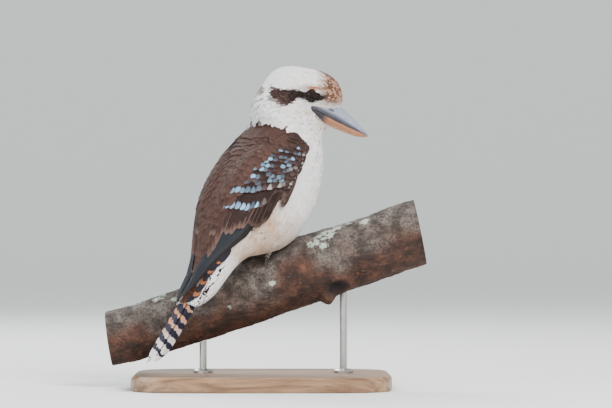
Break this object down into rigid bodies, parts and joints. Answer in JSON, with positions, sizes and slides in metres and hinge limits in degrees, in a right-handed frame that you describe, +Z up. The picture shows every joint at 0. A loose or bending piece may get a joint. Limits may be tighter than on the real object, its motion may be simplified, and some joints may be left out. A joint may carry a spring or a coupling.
{
  "type": "laughing kookaburra on a perch",
  "caption": "Life-size laughing kookaburra gripping a cut length of branch, held by two rods over a flat display base.",
  "frame": {"origin": "middle of the base's flat underside", "axes": "+Z up; +X the way the bill points, along the branch towards its high end; the camera of the picture looks along +Y"},
  "size_m": [0.3484, 0.2041, 0.3487],
  "materials": {
    "body_feathers": "soft white feathers",
    "wing_feathers": "dark brown feathers with pale blue spots",
    "tail_feathers": "rufous feathers barred in black, tipped in white",
    "bill_upper": "slate horn, satin",
    "bill_lower": "pale horn, satin",
    "eyes": "wet gloss",
    "legs": "scaled skin with dark claws",
    "bark": "grey-brown bark with lichen",
    "stand_wood": "oiled wood, satin",
    "stand_metal": "brushed steel"
  },
  "bodies": {
    "root": {"torso": "body_feathers", "neck": "body_feathers", "head": "body_feathers", "bill_upper": "bill_upper", "bill_lower": "bill_lower", "eye_left": "eyes", "eye_right": "eyes", "wing_left": "wing_feathers", "wing_right": "wing_feathers", "tail": "tail_feathers", "leg_left": "legs", "leg_right": "legs", "perch": "bark", "stand_base": "stand_wood", "stand_rod_left": "stand_metal", "stand_rod_right": "stand_metal"}
  },
  "joints": []
}
